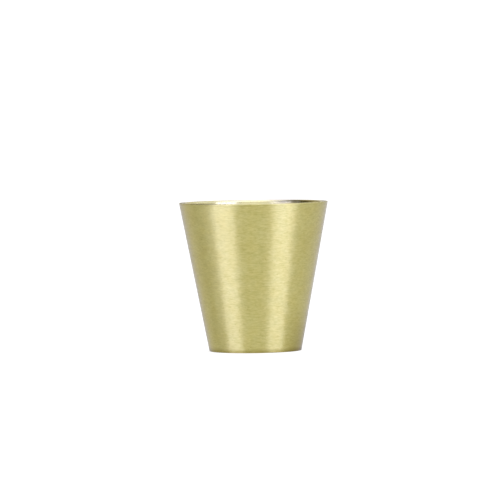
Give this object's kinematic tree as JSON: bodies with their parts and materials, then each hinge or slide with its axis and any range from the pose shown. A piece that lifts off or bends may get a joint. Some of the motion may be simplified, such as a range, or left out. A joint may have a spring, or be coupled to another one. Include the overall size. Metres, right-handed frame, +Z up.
{
  "type": "bar jigger",
  "caption": "Double-ended bar jigger shaped as a smooth straight-sided cone, with a measuring cup opening at the wide end and a smaller one at the narrow end.",
  "frame": {"origin": "centre of the narrow foot, on the surface it stands on", "axes": "+Z up along the axis of revolution, from the narrow foot to the wide rim; X and Y are alike"},
  "size_m": [0.0628, 0.0628, 0.0629],
  "materials": {
    "brushed_brass": "satin, fine brushing around the axis",
    "cup_brass": "satin, fine turning marks around the axis",
    "braze": "as melted, hidden"
  },
  "bodies": {
    "root": {"outer_shell": "brushed_brass", "large_cup": "cup_brass", "small_cup": "cup_brass", "large_rim_braze": "braze", "small_rim_braze": "braze", "floor_braze": "braze"}
  },
  "joints": []
}
